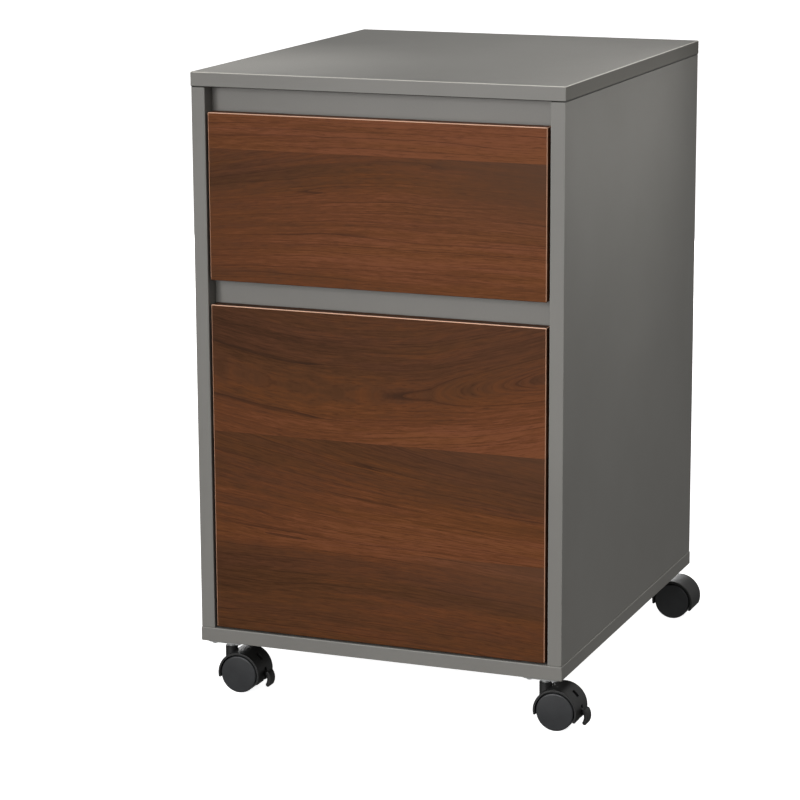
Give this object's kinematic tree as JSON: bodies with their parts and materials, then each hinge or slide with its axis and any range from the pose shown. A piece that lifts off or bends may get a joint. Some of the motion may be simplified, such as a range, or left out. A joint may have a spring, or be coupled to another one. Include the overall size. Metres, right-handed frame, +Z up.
{
  "type": "mobile file cabinet",
  "caption": "Box-shaped rolling pedestal with a small drawer over a deep file drawer behind flush wood-grain fronts with finger gaps, on twin-wheel casters.",
  "frame": {"origin": "On the floor under the middle of the case: midway between its sides, and midway from front to back.", "axes": "+Z is up, the drawer fronts face -Y, and +X is the right side seen from the front."},
  "size_m": [0.4227, 0.465, 0.655],
  "materials": {
    "case_laminate": "satin warm grey laminate",
    "walnut_laminate": "satin walnut-grain laminate",
    "drawer_board": "matt grey drawer board",
    "beech": "bare beech",
    "slide_steel": "bright zinc plated",
    "bearing_steel": "ground steel",
    "zinc_fitting": "zinc plated",
    "rail_aluminium": "natural anodised",
    "caster_nylon": "moulded black nylon",
    "wheel_nylon": "satin charcoal nylon"
  },
  "bodies": {
    "case": {"top_panel": "case_laminate", "bottom_panel": "case_laminate", "left_side_panel": "case_laminate", "right_side_panel": "case_laminate", "back_panel": "case_laminate", "upper_rail": "case_laminate", "middle_rail": "case_laminate", "case_dowels": "beech", "case_cam_fittings": "zinc_fitting", "caster_screws": "zinc_fitting", "upper_left_slide_case_member": "slide_steel", "upper_right_slide_case_member": "slide_steel", "lower_left_slide_case_member": "slide_steel", "lower_right_slide_case_member": "slide_steel", "front_left_caster_plate": "zinc_fitting", "front_right_caster_plate": "zinc_fitting", "rear_left_caster_plate": "zinc_fitting", "rear_right_caster_plate": "zinc_fitting"},
    "upper_drawer": {"upper_drawer_front": "walnut_laminate", "upper_drawer_back": "drawer_board", "upper_drawer_base": "drawer_board", "upper_drawer_left_side": "drawer_board", "upper_drawer_right_side": "drawer_board", "upper_left_slide_drawer_member": "slide_steel", "upper_right_slide_drawer_member": "slide_steel"},
    "upper_slide_middles": {"upper_left_slide_middle_member": "slide_steel", "upper_right_slide_middle_member": "slide_steel"},
    "upper_slide_outer_ball_cages": {"upper_slide_outer_ball_cages": "bearing_steel"},
    "upper_slide_inner_ball_cages": {"upper_slide_inner_ball_cages": "bearing_steel"},
    "lower_drawer": {"lower_drawer_front": "walnut_laminate", "lower_drawer_back": "drawer_board", "lower_drawer_base": "drawer_board", "lower_drawer_left_side": "drawer_board", "lower_drawer_right_side": "drawer_board", "lower_left_slide_drawer_member": "slide_steel", "left_file_rail": "rail_aluminium", "lower_right_slide_drawer_member": "slide_steel", "right_file_rail": "rail_aluminium"},
    "lower_slide_middles": {"lower_left_slide_middle_member": "slide_steel", "lower_right_slide_middle_member": "slide_steel"},
    "lower_slide_outer_ball_cages": {"lower_slide_outer_ball_cages": "bearing_steel"},
    "lower_slide_inner_ball_cages": {"lower_slide_inner_ball_cages": "bearing_steel"},
    "front_left_caster": {"front_left_caster_hood": "caster_nylon", "front_left_caster_axle": "bearing_steel"},
    "front_left_front_wheel": {"front_left_caster_front_wheel": "wheel_nylon"},
    "front_left_rear_wheel": {"front_left_caster_rear_wheel": "wheel_nylon"},
    "front_left_brake": {"front_left_caster_brake_lever": "caster_nylon"},
    "front_right_caster": {"front_right_caster_hood": "caster_nylon", "front_right_caster_axle": "bearing_steel"},
    "front_right_front_wheel": {"front_right_caster_front_wheel": "wheel_nylon"},
    "front_right_rear_wheel": {"front_right_caster_rear_wheel": "wheel_nylon"},
    "front_right_brake": {"front_right_caster_brake_lever": "caster_nylon"},
    "rear_left_caster": {"rear_left_caster_hood": "caster_nylon", "rear_left_caster_axle": "bearing_steel"},
    "rear_left_front_wheel": {"rear_left_caster_front_wheel": "wheel_nylon"},
    "rear_left_rear_wheel": {"rear_left_caster_rear_wheel": "wheel_nylon"},
    "rear_right_caster": {"rear_right_caster_hood": "caster_nylon", "rear_right_caster_axle": "bearing_steel"},
    "rear_right_front_wheel": {"rear_right_caster_front_wheel": "wheel_nylon"},
    "rear_right_rear_wheel": {"rear_right_caster_rear_wheel": "wheel_nylon"}
  },
  "joints": [
    {"name": "upper_drawer_slide", "type": "slide", "parent": "case", "child": "upper_drawer", "axis": [0, -1, 0], "range_m": [0, 0.4]},
    {"name": "upper_middles_slide", "type": "slide", "parent": "case", "child": "upper_slide_middles", "axis": [0, -1, 0], "range_m": [0, 0.2]},
    {"name": "upper_outer_cages_slide", "type": "slide", "parent": "case", "child": "upper_slide_outer_ball_cages", "axis": [0, -1, 0], "range_m": [0, 0.1]},
    {"name": "upper_inner_cages_slide", "type": "slide", "parent": "case", "child": "upper_slide_inner_ball_cages", "axis": [0, -1, 0], "range_m": [0, 0.3]},
    {"name": "lower_drawer_slide", "type": "slide", "parent": "case", "child": "lower_drawer", "axis": [0, -1, 0], "range_m": [0, 0.4]},
    {"name": "lower_middles_slide", "type": "slide", "parent": "case", "child": "lower_slide_middles", "axis": [0, -1, 0], "range_m": [0, 0.2]},
    {"name": "lower_outer_cages_slide", "type": "slide", "parent": "case", "child": "lower_slide_outer_ball_cages", "axis": [0, -1, 0], "range_m": [0, 0.1]},
    {"name": "lower_inner_cages_slide", "type": "slide", "parent": "case", "child": "lower_slide_inner_ball_cages", "axis": [0, -1, 0], "range_m": [0, 0.3]},
    {"name": "front_left_swivel", "type": "hinge", "parent": "case", "child": "front_left_caster", "pos_m": [-0.1755, -0.2095, 0.0457], "axis": [0, 0, 1], "continuous": true},
    {"name": "front_left_front_wheel_spin", "type": "hinge", "parent": "front_left_caster", "child": "front_left_front_wheel", "pos_m": [-0.16, -0.2095, 0.02], "axis": [0, 1, 0], "continuous": true},
    {"name": "front_left_rear_wheel_spin", "type": "hinge", "parent": "front_left_caster", "child": "front_left_rear_wheel", "pos_m": [-0.16, -0.2095, 0.02], "axis": [0, 1, 0], "continuous": true},
    {"name": "front_left_brake_lift", "type": "hinge", "parent": "front_left_caster", "child": "front_left_brake", "pos_m": [-0.14495, -0.2095, 0.02211], "axis": [0, -1, 0], "range_deg": [0, 15]},
    {"name": "front_right_swivel", "type": "hinge", "parent": "case", "child": "front_right_caster", "pos_m": [0.1755, -0.2095, 0.0457], "axis": [0, 0, 1], "continuous": true},
    {"name": "front_right_front_wheel_spin", "type": "hinge", "parent": "front_right_caster", "child": "front_right_front_wheel", "pos_m": [0.191, -0.2095, 0.02], "axis": [0, 1, 0], "continuous": true},
    {"name": "front_right_rear_wheel_spin", "type": "hinge", "parent": "front_right_caster", "child": "front_right_rear_wheel", "pos_m": [0.191, -0.2095, 0.02], "axis": [0, 1, 0], "continuous": true},
    {"name": "front_right_brake_lift", "type": "hinge", "parent": "front_right_caster", "child": "front_right_brake", "pos_m": [0.20605, -0.2095, 0.02211], "axis": [0, -1, 0], "range_deg": [0, 15]},
    {"name": "rear_left_swivel", "type": "hinge", "parent": "case", "child": "rear_left_caster", "pos_m": [-0.1755, 0.2095, 0.0457], "axis": [0, 0, 1], "continuous": true},
    {"name": "rear_left_front_wheel_spin", "type": "hinge", "parent": "rear_left_caster", "child": "rear_left_front_wheel", "pos_m": [-0.16, 0.2095, 0.02], "axis": [0, 1, 0], "continuous": true},
    {"name": "rear_left_rear_wheel_spin", "type": "hinge", "parent": "rear_left_caster", "child": "rear_left_rear_wheel", "pos_m": [-0.16, 0.2095, 0.02], "axis": [0, 1, 0], "continuous": true},
    {"name": "rear_right_swivel", "type": "hinge", "parent": "case", "child": "rear_right_caster", "pos_m": [0.1755, 0.2095, 0.0457], "axis": [0, 0, 1], "continuous": true},
    {"name": "rear_right_front_wheel_spin", "type": "hinge", "parent": "rear_right_caster", "child": "rear_right_front_wheel", "pos_m": [0.191, 0.2095, 0.02], "axis": [0, 1, 0], "continuous": true},
    {"name": "rear_right_rear_wheel_spin", "type": "hinge", "parent": "rear_right_caster", "child": "rear_right_rear_wheel", "pos_m": [0.191, 0.2095, 0.02], "axis": [0, 1, 0], "continuous": true}
  ],
  "couplings": [
    {"joint": "upper_middles_slide", "follows": "upper_drawer_slide", "ratio": 0.5},
    {"joint": "upper_outer_cages_slide", "follows": "upper_drawer_slide", "ratio": 0.25},
    {"joint": "upper_inner_cages_slide", "follows": "upper_drawer_slide", "ratio": 0.75},
    {"joint": "lower_middles_slide", "follows": "lower_drawer_slide", "ratio": 0.5},
    {"joint": "lower_outer_cages_slide", "follows": "lower_drawer_slide", "ratio": 0.25},
    {"joint": "lower_inner_cages_slide", "follows": "lower_drawer_slide", "ratio": 0.75}
  ]
}
